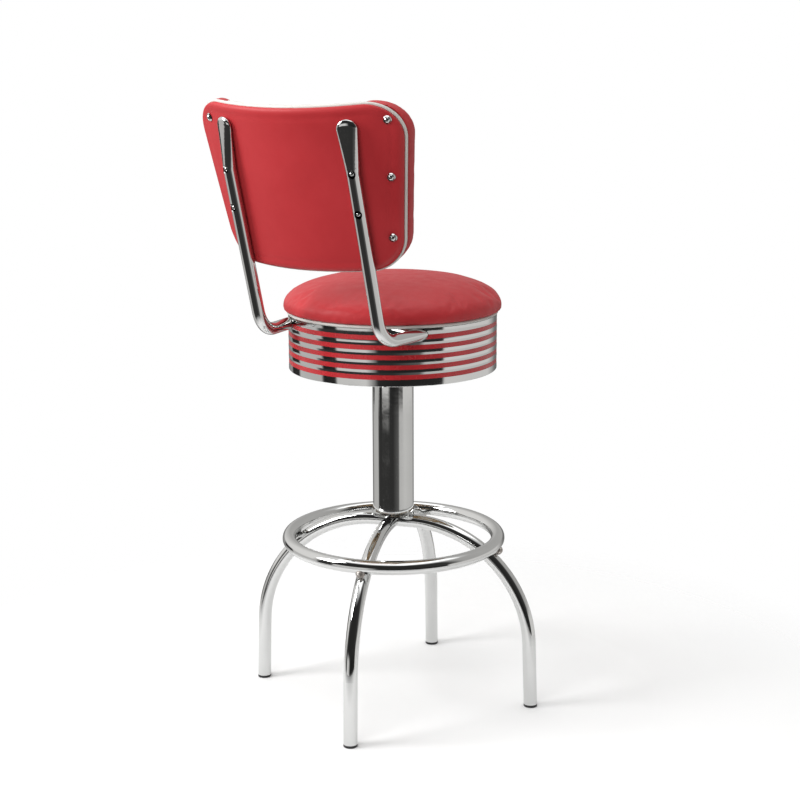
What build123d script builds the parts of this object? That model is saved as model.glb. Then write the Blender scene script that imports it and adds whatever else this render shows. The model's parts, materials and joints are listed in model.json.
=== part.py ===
"""Diner counter stool with a padded back: it swivels freely and its post telescopes in the column.

Millimetres. The origin is on the floor under the middle of the whole stool's box, +Z is up, the sitter
faces -Y and the back stands on the +Y side. The shapes are drawn about the column's axis, which the
last step puts at COLUMN_Y.
"""
import os
from math import asin, cos, degrees, radians, sin, sqrt, tan

from build123d import *

COLUMN_Y = -43.4            # the column stands this far in front of the middle of the stool's box
THREAD_GAP = 0.1            # radial clearance of screws and pressed pieces in their holes
CUT = 10.0                  # spare length of a cutting bar past the piece it cuts

# ---- base ------------------------------------------------------------------------------------
TUBE_R = 12.7               # one-inch tube of the legs and the foot ring
TUBE_WALL = 1.6
FOOT_CIRCLE_R = 266.5       # floor circle through the four feet
LEG_TURN = 14.0             # angle of the first leg about Z
LEG_TOP_Z = 342.2           # centreline of the legs where they meet under the column
LEG_BEND_R = 228.6
LEG_LEAN = 1.9              # lean of the straight lower leg, degrees from plumb
GLIDE_H = 5.0
GLIDE_PLUG_H = 20.0         # plug of the glide inside the tube
GLIDE_BEVEL = 0.8
FOOT_RING_R = 195.5
WELD_GAP = 0.05
VENT_R = 2.0
WELD_R = 8.6
WELD_OUT = 0.5              # middle of a weld outside the ring's circle, in tube radii
WELD_DOWN = 0.86            # and below the ring's middle
HUB_PLATE_R = 41.0
HUB_PLATE_H = 5.6
COLUMN_R = 38.1
COLUMN_WALL = 2.0
COLUMN_TOP_Z = 690.0

# ---- height adjustment -----------------------------------------------------------------------
POST_R = 31.75
POST_WALL = 3.0
RUN_GAP = 0.05              # radial running clearance of the shafts and bushes
STOP_GAP = 0.4
BUSH_LENGTH = 46.0
BUSH_FLANGE_H = 4.0
FOOT_BUSH_H = 30.0
LOCK_Z = 668.0
LOCK_SCREW_R = 5.0
LOCK_BOSS_R = 9.0
LOCK_BOSS_H = 9.0
LOCK_TURNS = (60.0, 180.0, 300.0)
LOCK_TIP_GAP = 0.15         # between a backed-off screw and the post
LOCK_PROUD = 3.0            # screw's end outside its boss
SOCKET_R = 2.9              # hexagon socket, across corners / 2
SOCKET_DEPTH = 5.0
BUSH_BEVEL = 0.8

# ---- swivel ----------------------------------------------------------------------------------
SWIVEL_TOP_Z = 736.0        # upper face of the swivel's top plate, under the seat board
SWIVEL_TOP_H = 3.0
SWIVEL_TOP_SIDE = 150.0
BALL_R = 3.0
BALL_CIRCLE_R = 42.0
BALL_COUNT = 24
PLATE_GAP = 4.0             # between the facing sides of the two swivel plates
LOWER_PLATE_R = 56.0
LOWER_PLATE_H = 4.0
CAGE_H = 1.2
CAGE_HALF_W = 6.0
CAGE_GAP = 0.2              # round each ball in its window
SWIVEL_TOP_CORNER_R = 12.0
KING_BOLT_R = 8.0
KING_HEAD_R = 13.0
KING_HEAD_H = 6.0
KING_NUT_H = 12.0
KING_NUT_R = 13.5
KING_HEAD_GAP = 0.1
KING_THREAD_OUT = 3.0       # bolt's end below its nut
KING_WELL_GAP = 4.0         # round the bolt's head in the seat board
PLATE_BOLT_SPACING = 120.0
PLATE_BOLT_R = 4.0
PLATE_BOLT_HEAD_R = 7.2
PLATE_BOLT_HEAD_H = 5.0
TEE_NUT_R = 6.0
TEE_FLANGE_R = 10.0
TEE_FLANGE_H = 1.2
TEE_NUT_UP = 2.0            # its lower end above the board's underside

# ---- seat ------------------------------------------------------------------------------------
SKIRT_R = 190.5
SKIRT_WALL = 2.6
SKIRT_BOTTOM_Z = 634.5
SKIRT_TOP_Z = 735.4
SKIRT_FLANGE_H = 1.6
SKIRT_FLANGE_IN = 12.0
SKIRT_SCREW_CIRCLE_R = 182.0
SKIRT_SCREW_COUNT = 6
SKIRT_SLOT_GAP = 0.6        # round a back tube in its slot
SKIRT_EDGE = 0.8            # bevel of the skirt's lower edge
WOOD_SCREW_R = 2.1
WOOD_SCREW_HEAD_R = 4.1
WOOD_SCREW_HEAD_H = 2.3
SKIRT_SCREW_IN = 6.8        # depth of a skirt screw in the seat board
CLAMP_SCREW_IN = 8.0        # and of a clamp screw
GROOVE_COUNT = 5
GROOVE_PITCH = 17.4
GROOVE_FIRST_Z = 651.0      # middle of the lowest groove
GROOVE_W = 8.4
GROOVE_DEPTH = 1.5
RIB_CROWN = 0.35            # rise of a rib between two grooves above its own edges
BAND_H = 1.2                # thickness of the coloured band laid in a groove
BOARD_R = 186.0
BOARD_H = 12.0
BOARD_Z = SWIVEL_TOP_Z
CUSHION_R = 199.0
CUSHION_WIDEST_Z = 753.5
CUSHION_BOTTOM_Z = 741.6
CUSHION_TOP_Z = 806.0
CUSHION_BASE_R = 189.5
CROWN_SHOULDER = 0.86       # where the crown turns down, as a share of the cushion's radius
CROWN_DROP = 20.0           # fall of the crown there
COVER_T = 1.5               # vinyl cover
FOAM_GAP = 0.2
SEAT_WELT_R = 3.1
SEAT_WELT_RING_R = 189.6

# ---- back ------------------------------------------------------------------------------------
BACK_TUBE_R = 11.1          # seven-eighths tube
BACK_TUBE_Z = 724.4         # centreline of the run under the seat
BACK_TUBE_X = 121.0         # half spacing of the uprights
BACK_ENTRY_X = 132.0        # half spacing where the tubes pass through the skirt
BACK_RUN_IN = 130.0         # length of the run inside the skirt
BACK_BEND_R = 52.0
BACK_RECLINE = 16.0
BACK_REF_Z = 850.0          # height at which BACK_REF_Y is the middle of the uprights
BACK_REF_Y = 275.0
BACK_TUBE_LENGTH = 256.0    # from BACK_REF_Z up the slope to the tip
SPOON_START = 168.0
SPOON_FULL = 240.0
SPOON_HALF_W = 17.4
SPOON_HALF_T = 5.6
TIP_STEP = 0.02             # the domed tip is this much inside the spoon's own outline
BACK_BOLT_UP = (102.0, 170.0)
BACK_BOLT_R = 3.0
BACK_BOLT_IN = 8.0          # its tip in front of the rear panel
BOLT_SEAT = 0.4             # step cut under its head, above the dent's floor
BACK_BOLT_HEAD_R = 4.6      # its dome is part of a ball of this radius
DIMPLE_R = 7.5
DIMPLE_OUT = 1.5            # middle of the dent's ball behind the tube
CLAMP_INWARDS = (78.0, 114.0)
CLAMP_T = 2.0
CLAMP_W = 16.0
CLAMP_REACH = 18.0          # from the tube's middle to each clamp screw
CLAMP_EAR_OUT = 5.0         # clamp's ear beyond its screw
PANEL_CURVE_R = 400.0       # the back wraps forward round a cylinder of this radius
PANEL_TOP_HALF_W = 204.0
PANEL_BOTTOM_HALF_W = 167.0
PANEL_TOP = 275.0
PANEL_BOTTOM = -5.0
PANEL_CORNER_R = 57.0
REAR_PANEL_T = 7.0
BACK_BOARD_T = 10.0
BACK_T = 46.0
CUSHION_GROW = 5.0          # how far the front cushion stands out round the rear panel
V_TOP_HALF_W = 126.0
V_BOTTOM_HALF_W = 52.0
# (across, up the back): the two sides were set out by hand and differ
BACK_SCREWS = (
    (-178.0, 247.0), (-171.0, 153.0), (-160.0, 51.0),
    (164.0, 247.0), (146.0, 153.0), (140.0, 51.0),
)
BACK_SCREW_R = 1.9
BACK_SCREW_IN = 9.0         # its tip in front of the rear panel
BACK_SCREW_HEAD_R = 5.6     # its head is part of a ball of this radius
BACK_SCREW_HEAD_IN = 1.2    # middle of that ball in front of the rear skin
SCREW_CUP_R = 7.2
SCREW_CUP_H = 2.2
SCREW_CUP_TAPER = 1.6
SCREW_CUP_FLOOR = 0.8
BOARD_MARGIN = 4.0          # back board's edge inside the rear panel's edge
LAYER_GAP = 0.2             # between the layers of the back
WELT_H = 5.0
WELT_OUT = 2.5              # piping outside the rear panel's edge
WELT_IN = 3.8               # and inside it
FRONT_SOFT_R = 16.0         # rounding of the front cushion's edges

# ---- derived sizes ---------------------------------------------------------------------------
COLUMN_BOTTOM_Z = LEG_TOP_Z + TUBE_R + HUB_PLATE_H
COLUMN_IN_R = COLUMN_R - COLUMN_WALL
POST_BOTTOM_Z = COLUMN_BOTTOM_Z + STOP_GAP
SWIVEL_TOP_LOW_Z = SWIVEL_TOP_Z - SWIVEL_TOP_H
LOWER_PLATE_TOP_Z = SWIVEL_TOP_LOW_Z - PLATE_GAP
LOWER_PLATE_Z = LOWER_PLATE_TOP_Z - LOWER_PLATE_H
BALL_Z = SWIVEL_TOP_LOW_Z - PLATE_GAP / 2
SKIRT_FLANGE_Z = SKIRT_TOP_Z - SKIRT_FLANGE_H
PAD_REAR = REAR_PANEL_T + LAYER_GAP + WELT_H + LAYER_GAP

os.makedirs("parts", exist_ok=True)


def ring(outer, inner, bottom, height):
    """Upright tube section: outer and inner radius, lowest height and length."""
    body = Pos(0, 0, bottom) * extrude(Circle(outer), height)
    return body - Pos(0, 0, bottom - 1) * extrude(Circle(inner), height + 2)


def disc(radius, bottom, height):
    return Pos(0, 0, bottom) * extrude(Circle(radius), height)


def rod(radius, start, end):
    """Solid round bar between two points."""
    start, end = Vector(*start), Vector(*end)
    across = Plane(origin=start, z_dir=end - start)
    return extrude(across * Circle(radius), (end - start).length)


def hollow_sweep(path, outer, inner):
    """Round tube along a path."""
    start = Plane(origin=path @ 0, z_dir=path % 0)
    solid = sweep(start * Circle(outer), path=path)
    if inner:
        solid -= sweep(start * Circle(inner), path=path)
    return solid


def spin_copies(shape, angles):
    """The same shape at several angles about Z, as one group of separate solids."""
    return Compound(children=[Rot(0, 0, angle) * shape for angle in angles])


def group(solids):
    return Compound(children=list(solids))


# ---- base ------------------------------------------------------------------------------------
def leg_path():
    """Centreline of one leg in the XZ plane, from under the column to the floor."""
    lean = radians(LEG_LEAN)
    knee_x = FOOT_CIRCLE_R - LEG_TOP_Z * tan(lean)
    hub, knee = (0, 0, LEG_TOP_Z), (knee_x, 0, LEG_TOP_Z)
    return FilletPolyline(hub, knee, (FOOT_CIRCLE_R, 0, 0), radius=LEG_BEND_R)


def above_glides(shape):
    """A leg with its foot cut level, where the glide's rim begins."""
    wide = 3 * FOOT_CIRCLE_R
    return shape - Pos(0, 0, GLIDE_H - CUT) * Box(wide, wide, 2 * CUT)


def long_leg():
    """Two opposite legs bent from one tube that runs right across under the column."""
    path = leg_path()
    half = hollow_sweep(path, TUBE_R, TUBE_R - TUBE_WALL)
    return above_glides(half + Rot(0, 0, 180) * half)


def short_leg():
    """A leg coped to fit the side of the long tube."""
    tube = hollow_sweep(leg_path(), TUBE_R, TUBE_R - TUBE_WALL)
    crossing = rod(TUBE_R, (0, -4 * TUBE_R, LEG_TOP_Z), (0, 4 * TUBE_R, LEG_TOP_Z))
    return above_glides(tube - crossing)


def glide():
    """Black plastic foot: a rim under the tube's end and a plug inside it, along the leaning leg."""
    lean = radians(LEG_LEAN)
    foot = Vector(FOOT_CIRCLE_R, 0, 0)
    slope = Vector(-sin(lean), 0, cos(lean))
    wide = 4 * TUBE_R
    top_z = GLIDE_H + GLIDE_PLUG_H
    rim = rod(TUBE_R, foot - slope * CUT, foot + slope * (top_z + CUT))
    rim = rim & Pos(FOOT_CIRCLE_R, 0, GLIDE_H / 2) * Box(wide, wide, GLIDE_H)
    edge = rim.edges().filter_by(GeomType.ELLIPSE).sort_by(Axis.Z)[0]
    plug = rod(TUBE_R - TUBE_WALL - THREAD_GAP, foot - slope * CUT, foot + slope * (top_z + CUT))
    plug = plug & Pos(FOOT_CIRCLE_R, 0, GLIDE_H + GLIDE_PLUG_H / 2) * Box(wide, wide, GLIDE_PLUG_H)
    return chamfer(edge, GLIDE_BEVEL) + plug


def ring_rest_z():
    """Height at which the foot ring's tube just rests on the outside of the bent legs."""
    lean = radians(LEG_LEAN)
    bend_z = LEG_TOP_Z - LEG_BEND_R
    bend_x = FOOT_CIRCLE_R - (LEG_BEND_R + bend_z * sin(lean)) / cos(lean)
    reach = LEG_BEND_R + 2 * TUBE_R + WELD_GAP
    return bend_z + sqrt(reach**2 - (FOOT_RING_R - bend_x) ** 2)


def foot_ring():
    """Tube rolled into a hoop, with a vent hole underneath as plated tube has."""
    hoop = Torus(FOOT_RING_R, TUBE_R) - Torus(FOOT_RING_R, TUBE_R - TUBE_WALL)
    vent = Rot(0, 0, LEG_TURN + 45) * Pos(FOOT_RING_R, 0, -TUBE_R) * Cylinder(VENT_R, CUT)
    return Pos(0, 0, ring_rest_z()) * (hoop - vent)


def ring_weld(leg, hoop):
    """Weld bead that fills the corner between a leg and the foot ring resting on it."""
    place = Pos(FOOT_RING_R + WELD_OUT * TUBE_R, 0, ring_rest_z() - WELD_DOWN * TUBE_R)
    blob = place * Sphere(WELD_R)
    rest = (blob - leg - hoop).solids().sort_by(SortBy.VOLUME)
    return rest[-1]


def hub_plate():
    """Round plate that closes the foot of the column and sits on the crossing legs."""
    return disc(HUB_PLATE_R, LEG_TOP_Z + TUBE_R, HUB_PLATE_H)


# ---- column and post -------------------------------------------------------------------------

def lock_holes(radius, length):
    """The three radial holes that the locking screws pass through."""
    hole = rod(radius, (POST_R - POST_WALL, 0, LOCK_Z), (POST_R - POST_WALL + length, 0, LOCK_Z))
    return spin_copies(hole, LOCK_TURNS).solids()


def column():
    tube = ring(COLUMN_R, COLUMN_IN_R, COLUMN_BOTTOM_Z, COLUMN_TOP_Z - COLUMN_BOTTOM_Z)
    for hole in lock_holes(LOCK_SCREW_R + THREAD_GAP, 3 * CUT):
        tube -= hole
    return tube


def lock_boss():
    """Threaded boss welded on the column's side for one locking screw."""
    out_r = COLUMN_R + LOCK_BOSS_H
    boss = rod(LOCK_BOSS_R, (COLUMN_IN_R, 0, LOCK_Z), (out_r, 0, LOCK_Z))
    boss -= rod(LOCK_SCREW_R + THREAD_GAP, (0, 0, LOCK_Z), (out_r + CUT, 0, LOCK_Z))
    return boss - disc(COLUMN_R, LOCK_Z - 2 * LOCK_BOSS_R, 4 * LOCK_BOSS_R)


def lock_screw():
    """Hexagon socket set screw that grips the post through the bush."""
    tip_r = POST_R + LOCK_TIP_GAP
    end_r = COLUMN_R + LOCK_BOSS_H + LOCK_PROUD
    screw = rod(LOCK_SCREW_R, (tip_r, 0, LOCK_Z), (end_r, 0, LOCK_Z))
    face = Plane(origin=(end_r, 0, LOCK_Z), z_dir=(-1, 0, 0))
    return screw - extrude(face * RegularPolygon(SOCKET_R, 6), SOCKET_DEPTH)


def column_bush():
    """Flanged nylon bush in the column's mouth that guides the post."""
    sleeve = ring(COLUMN_IN_R, POST_R + RUN_GAP, COLUMN_TOP_Z - BUSH_LENGTH, BUSH_LENGTH)
    flange = ring(COLUMN_R, POST_R + RUN_GAP, COLUMN_TOP_Z, BUSH_FLANGE_H)
    bush = sleeve + chamfer(flange.edges().sort_by(Axis.Z)[-1], BUSH_BEVEL)
    for hole in lock_holes(LOCK_SCREW_R + THREAD_GAP, 3 * CUT):
        bush -= hole
    return bush


def inner_post():
    return ring(POST_R, POST_R - POST_WALL, POST_BOTTOM_Z, LOWER_PLATE_Z - POST_BOTTOM_Z)


def post_foot_bush():
    """Nylon ring on the post's lower end that keeps it central in the column."""
    return ring(COLUMN_IN_R - RUN_GAP, POST_R, POST_BOTTOM_Z, FOOT_BUSH_H)


# ---- swivel ----------------------------------------------------------------------------------
def ball_track():
    return Pos(0, 0, BALL_Z) * Torus(BALL_CIRCLE_R, BALL_R + RUN_GAP)


def swivel_lower_plate():
    plate = disc(LOWER_PLATE_R, LOWER_PLATE_Z, LOWER_PLATE_H) - ball_track()
    return plate - disc(KING_BOLT_R, LOWER_PLATE_Z - 1, LOWER_PLATE_H + 2)


def swivel_balls():
    ball = Pos(BALL_CIRCLE_R, 0, BALL_Z) * Sphere(BALL_R)
    return spin_copies(ball, [360 / BALL_COUNT * k for k in range(BALL_COUNT)])


def ball_cage():
    """Thin ring with a window for each ball."""
    cage = ring(BALL_CIRCLE_R + CAGE_HALF_W, BALL_CIRCLE_R - CAGE_HALF_W, BALL_Z - CAGE_H / 2, CAGE_H)
    for k in range(BALL_COUNT):
        window = Pos(BALL_CIRCLE_R, 0, BALL_Z - CAGE_H) * extrude(Circle(BALL_R + CAGE_GAP), 2 * CAGE_H)
        cage -= Rot(0, 0, 360 / BALL_COUNT * k) * window
    return cage


def king_bolt():
    """Pivot bolt: its head holds the top plate down and its nut is inside the post."""
    head_z = SWIVEL_TOP_Z + KING_HEAD_GAP
    shank_z = LOWER_PLATE_Z - KING_NUT_H - KING_THREAD_OUT
    shank = disc(KING_BOLT_R, shank_z, head_z - shank_z)
    head = disc(KING_HEAD_R, head_z, KING_HEAD_H)
    return shank + chamfer(head.edges().sort_by(Axis.Z)[-1], 1.0)


def king_nut():
    nut = Pos(0, 0, LOWER_PLATE_Z - KING_NUT_H) * extrude(RegularPolygon(KING_NUT_R, 6), KING_NUT_H)
    return nut - disc(KING_BOLT_R, LOWER_PLATE_Z - KING_NUT_H - 1, KING_NUT_H + 2)


def plate_bolt_places():
    half = PLATE_BOLT_SPACING / 2
    return [(x, y) for x in (-half, half) for y in (-half, half)]


def swivel_top_plate():
    outline = RectangleRounded(SWIVEL_TOP_SIDE, SWIVEL_TOP_SIDE, SWIVEL_TOP_CORNER_R)
    plate = Pos(0, 0, SWIVEL_TOP_LOW_Z) * extrude(outline, SWIVEL_TOP_H) - ball_track()
    plate -= disc(KING_BOLT_R + RUN_GAP, SWIVEL_TOP_Z - CUT, 2 * CUT)
    for x, y in plate_bolt_places():
        plate -= Pos(x, y, 0) * disc(PLATE_BOLT_R + 2 * THREAD_GAP, SWIVEL_TOP_Z - CUT, 2 * CUT)
    return plate


def plate_bolts():
    """Four hexagon bolts up through the top plate into the seat board."""
    head_z = SWIVEL_TOP_LOW_Z - PLATE_BOLT_HEAD_H
    head = Pos(0, 0, head_z) * extrude(RegularPolygon(PLATE_BOLT_HEAD_R, 6), PLATE_BOLT_HEAD_H)
    bolt = head + disc(PLATE_BOLT_R, SWIVEL_TOP_LOW_Z - 1, BOARD_H - 1)
    return group(Pos(x, y, 0) * bolt for x, y in plate_bolt_places())


def tee_nuts():
    """Barbed nuts pressed into the top of the seat board for the plate bolts."""
    nut = ring(TEE_NUT_R, PLATE_BOLT_R, BOARD_Z + TEE_NUT_UP, BOARD_H - TEE_NUT_UP)
    nut += ring(TEE_FLANGE_R, PLATE_BOLT_R, BOARD_Z + BOARD_H, TEE_FLANGE_H)
    return group(Pos(x, y, 0) * nut for x, y in plate_bolt_places())


# ---- seat ------------------------------------------------------------------------------------
def skirt_profile():
    """Half section of the ribbed skirt: a thin wall with square grooves and a flange at its top."""
    inner = SKIRT_R - SKIRT_WALL
    edge_r, floor_r = SKIRT_R - RIB_CROWN, SKIRT_R - GROOVE_DEPTH
    first, last = (inner, SKIRT_BOTTOM_Z), (SKIRT_R, SKIRT_TOP_Z)
    lip_r, lip_z = SKIRT_R - SKIRT_EDGE, SKIRT_BOTTOM_Z + SKIRT_EDGE
    here = (edge_r, GROOVE_FIRST_Z - GROOVE_W / 2)
    edges = [*Polyline(first, (lip_r, SKIRT_BOTTOM_Z), (SKIRT_R, lip_z)).edges()]
    edges.append(ThreePointArc((SKIRT_R, lip_z), (SKIRT_R - RIB_CROWN / 8, (lip_z + here[1]) / 2), here))
    for k in range(GROOVE_COUNT):
        high = here[1] + GROOVE_W
        edges += Polyline(here, (floor_r, here[1]), (floor_r, high), (edge_r, high)).edges()
        if k < GROOVE_COUNT - 1:
            here = (edge_r, high + GROOVE_PITCH - GROOVE_W)
            edges.append(ThreePointArc((edge_r, high), (SKIRT_R, (high + here[1]) / 2), here))
    edges.append(ThreePointArc((edge_r, high), (SKIRT_R - RIB_CROWN / 8, (high + SKIRT_TOP_Z) / 2), last))
    flange_r = SKIRT_R - SKIRT_FLANGE_IN
    top = Polyline(last, (flange_r, SKIRT_TOP_Z), (flange_r, SKIRT_FLANGE_Z), (inner, SKIRT_FLANGE_Z), first)
    return Plane.XZ * make_face(Wire([*edges, *top.edges()]))


def skirt():
    """Ribbed skirt with a slot from its top edge for each back tube."""
    body = revolve(skirt_profile(), Axis.Z)
    for side in (-1, 1):
        slot = back_tube_run(side, BACK_TUBE_R + SKIRT_SLOT_GAP)
        lift = Pos(*back_run_point(side, 0)) * extrude(Circle(BACK_TUBE_R + SKIRT_SLOT_GAP), 2 * CUT)
        body = body - slot - lift
    for place in skirt_screw_places():
        body -= place * disc(WOOD_SCREW_R + THREAD_GAP, SKIRT_TOP_Z - CUT, 2 * CUT)
    return body


def groove_bands():
    """Coloured bands laid in the skirt's grooves, one in each."""
    floor_r = SKIRT_R - GROOVE_DEPTH
    height = GROOVE_W - 2 * THREAD_GAP
    band = ring(floor_r + BAND_H, floor_r, -height / 2, height)
    bands = [Pos(0, 0, GROOVE_FIRST_Z + GROOVE_PITCH * k) * band for k in range(GROOVE_COUNT)]
    top = bands.pop()
    for side in (-1, 1):
        top -= back_tube_run(side, BACK_TUBE_R + SKIRT_SLOT_GAP)
    return group(bands + list(top.solids()))


def skirt_screw_places():
    """Places of the wood screws that hold the skirt's flange, clear of the back tubes."""
    step = 360 / SKIRT_SCREW_COUNT
    return [Rot(0, 0, step * k) * Pos(SKIRT_SCREW_CIRCLE_R, 0, 0) for k in range(SKIRT_SCREW_COUNT)]


def wood_screw(plate_z, board_in):
    """Screw whose head bears on a plate at that height and whose tip is in the seat board."""
    shank = disc(WOOD_SCREW_R, plate_z - 1, BOARD_Z + board_in - plate_z)
    return shank + disc(WOOD_SCREW_HEAD_R, plate_z - WOOD_SCREW_HEAD_H, WOOD_SCREW_HEAD_H)


def skirt_screws():
    """Wood screws up through the skirt's flange into the seat board."""
    screw = wood_screw(SKIRT_FLANGE_Z, SKIRT_SCREW_IN - 1)
    return group(place * screw for place in skirt_screw_places())


def seat_board():
    """Plywood disc with a well for the king bolt's head and a hole for each fixing."""
    board = disc(BOARD_R, BOARD_Z, BOARD_H)
    board -= disc(KING_HEAD_R + KING_WELL_GAP, BOARD_Z - 1, BOARD_H + 2)
    for x, y in plate_bolt_places():
        board -= Pos(x, y, 0) * disc(PLATE_BOLT_R + THREAD_GAP, BOARD_Z - 1, BOARD_H + 2)
        board -= Pos(x, y, 0) * disc(TEE_NUT_R, BOARD_Z + TEE_NUT_UP, BOARD_H)
    for place in skirt_screw_places():
        board -= place * disc(WOOD_SCREW_R, BOARD_Z - 1, SKIRT_SCREW_IN)
    for x, y in clamp_screw_places():
        board -= Pos(x, y, 0) * disc(WOOD_SCREW_R, BOARD_Z - 1, CLAMP_SCREW_IN)
    return board


def cushion_form(shrink, bottom):
    """Domed round pad: a crowned top, a full side and a tuck under the widest line."""
    rim_r = CUSHION_R - shrink
    top_z = CUSHION_TOP_Z - shrink
    base_r = CUSHION_BASE_R - shrink
    shoulder = (rim_r * CROWN_SHOULDER, 0, top_z - CROWN_DROP)
    rim, base = (rim_r, 0, CUSHION_WIDEST_Z), (base_r, 0, bottom)
    crown = Spline((0, 0, top_z), shoulder, rim, tangents=((1, 0, 0), (0, 0, -1)))
    tuck = Spline(rim, base, tangents=((0, 0, -1), (-1, 0, -0.3)))
    close = Polyline((base_r, 0, bottom), (0, 0, bottom), (0, 0, top_z))
    return revolve(make_face(Wire([*crown.edges(), *tuck.edges(), *close.edges()])), Axis.Z)


def seat_foam():
    """Foam that caps the seat board, with room for the nuts on its top."""
    foam = cushion_form(COVER_T, CUSHION_BOTTOM_Z + FOAM_GAP)
    foam -= disc(BOARD_R + FOAM_GAP, 0, BOARD_Z + BOARD_H)
    for x, y in plate_bolt_places():
        foam -= Pos(x, y, 0) * disc(TEE_FLANGE_R + FOAM_GAP, 0, BOARD_Z + BOARD_H + TEE_FLANGE_H + FOAM_GAP)
    return foam


def seat_cover():
    """Vinyl cover drawn over the foam and tucked in under the rim."""
    shell = cushion_form(0, CUSHION_BOTTOM_Z) - cushion_form(COVER_T, CUSHION_BOTTOM_Z + FOAM_GAP)
    return shell - disc(BOARD_R + FOAM_GAP, 0, BOARD_Z + BOARD_H)


def seat_welt():
    """Piping between the cushion and the skirt's top edge."""
    z = (SKIRT_TOP_Z + CUSHION_BOTTOM_Z) / 2
    welt = Pos(0, 0, z) * Torus(SEAT_WELT_RING_R, SEAT_WELT_R)
    for side in (-1, 1):
        welt -= back_tube_run(side, BACK_TUBE_R + FOAM_GAP)
    room = ring(SKIRT_R + CUT, BOARD_R + THREAD_GAP, SKIRT_TOP_Z, CUSHION_BOTTOM_Z - SKIRT_TOP_Z)
    return welt & room


# ---- back tubes ------------------------------------------------------------------------------
def back_plane(side=0, up=0):
    """Local frame of the back: X across, Y to the rear and Z up the recline."""
    slope = radians(BACK_RECLINE)
    up_dir = Vector(0, sin(slope), cos(slope))
    origin = Vector(side * BACK_TUBE_X, BACK_REF_Y, BACK_REF_Z) + up_dir * up
    return Plane(origin=origin, x_dir=(1, 0, 0), z_dir=up_dir)


def back_run_point(side, inwards):
    """Point on a tube's run: 0 is at the skirt and positive is inside it."""
    corner_y = BACK_REF_Y + (BACK_TUBE_Z - BACK_REF_Z) * tan(radians(BACK_RECLINE))
    entry_y = sqrt(SKIRT_R**2 - BACK_ENTRY_X**2)
    run = Vector(BACK_ENTRY_X - BACK_TUBE_X, entry_y - corner_y, 0).normalized()
    place = Vector(BACK_ENTRY_X, entry_y, BACK_TUBE_Z) + run * inwards
    return side * place.X, place.Y, place.Z


def back_tube_run(side, radius):
    """Solid bar along a tube's run through the skirt, for cutting its way."""
    return rod(radius, back_run_point(side, -2 * CUT), back_run_point(side, BACK_RUN_IN + 2))


def panel_turn(side):
    """Angle by which the panel's surface turns at a tube, from the curve of the back."""
    return -side * degrees(asin(BACK_TUBE_X / PANEL_CURVE_R))


def spoon_section(side, up, half_w, half_t):
    """Oval section of an upright, turned to lie flat against the curved panel."""
    place = back_plane(side, up) * Rot(0, 0, panel_turn(side))
    seat_in = BACK_TUBE_R - half_t
    return place * Pos(0, -seat_in, 0) * Ellipse(half_w, half_t)


def dimple(side, up):
    """Ball-shaped dent round a back bolt, on the rear of the upright."""
    place = back_plane(side, up) * Rot(0, 0, panel_turn(side))
    return place * Pos(0, BACK_TUBE_R + DIMPLE_OUT, 0) * Sphere(DIMPLE_R)


def back_tube(side):
    """One upright: a run under the seat, a bend, and a flattened spoon end behind the panel."""
    corner_y = BACK_REF_Y + (BACK_TUBE_Z - BACK_REF_Z) * tan(radians(BACK_RECLINE))
    end = back_run_point(side, BACK_RUN_IN)
    corner = (side * BACK_TUBE_X, corner_y, BACK_TUBE_Z)
    start_spoon = back_plane(side, SPOON_START).origin
    path = FilletPolyline(end, corner, start_spoon, radius=BACK_BEND_R)
    tube = hollow_sweep(path, BACK_TUBE_R, BACK_TUBE_R - TUBE_WALL)
    middle = (SPOON_START + SPOON_FULL) / 2
    sections = [
        spoon_section(side, SPOON_START, BACK_TUBE_R, BACK_TUBE_R),
        spoon_section(side, middle, (BACK_TUBE_R + SPOON_HALF_W) / 2, (BACK_TUBE_R + SPOON_HALF_T) / 2),
        spoon_section(side, SPOON_FULL, SPOON_HALF_W, SPOON_HALF_T),
    ]
    half_w, half_t = SPOON_HALF_W - TIP_STEP, SPOON_HALF_T - TIP_STEP
    dome = scale(Sphere(1), by=(half_w, half_t, BACK_TUBE_LENGTH - SPOON_FULL))
    place = back_plane(side, SPOON_FULL) * Rot(0, 0, panel_turn(side))
    tip = place * Pos(0, SPOON_HALF_T - BACK_TUBE_R, 0) * dome
    tube = tube + (loft(sections) + tip)
    for up in BACK_BOLT_UP:
        tube -= dimple(side, up)
        tube -= bolt_bar(side, up, BACK_BOLT_R + THREAD_GAP, -3 * CUT, 2 * CUT)
        tube -= bolt_bar(side, up, BACK_BOLT_HEAD_R + FOAM_GAP, dent_floor() + BOLT_SEAT, 2 * CUT)
    return tube


def bolt_bar(side, up, radius, front, rear):
    """Bar square to the panel through an upright, between two depths along its normal."""
    place = back_plane(side, up) * Rot(0, 0, panel_turn(side))
    return place * Pos(0, front, 0) * Rot(-90, 0, 0) * extrude(Circle(radius), rear - front)


def dent_floor():
    """Rear distance of a dent's deepest point from the tube's centreline."""
    return BACK_TUBE_R + DIMPLE_OUT - DIMPLE_R


def tube_bolts():
    """Domed bolts that hold the uprights to the back board."""
    tip = -BACK_TUBE_R - REAR_PANEL_T - BACK_BOLT_IN
    seat = dent_floor() + BOLT_SEAT
    bolts = []
    for side in (-1, 1):
        for up in BACK_BOLT_UP:
            shank = bolt_bar(side, up, BACK_BOLT_R, tip, dent_floor() + 1)
            place = back_plane(side, up) * Rot(0, 0, panel_turn(side))
            dome = place * Pos(0, seat, 0) * Sphere(BACK_BOLT_HEAD_R)
            dome = dome & bolt_bar(side, up, 2 * BACK_BOLT_HEAD_R, seat + THREAD_GAP, seat + CUT)
            bolts.append(shank + dome)
    return group(bolts)


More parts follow.
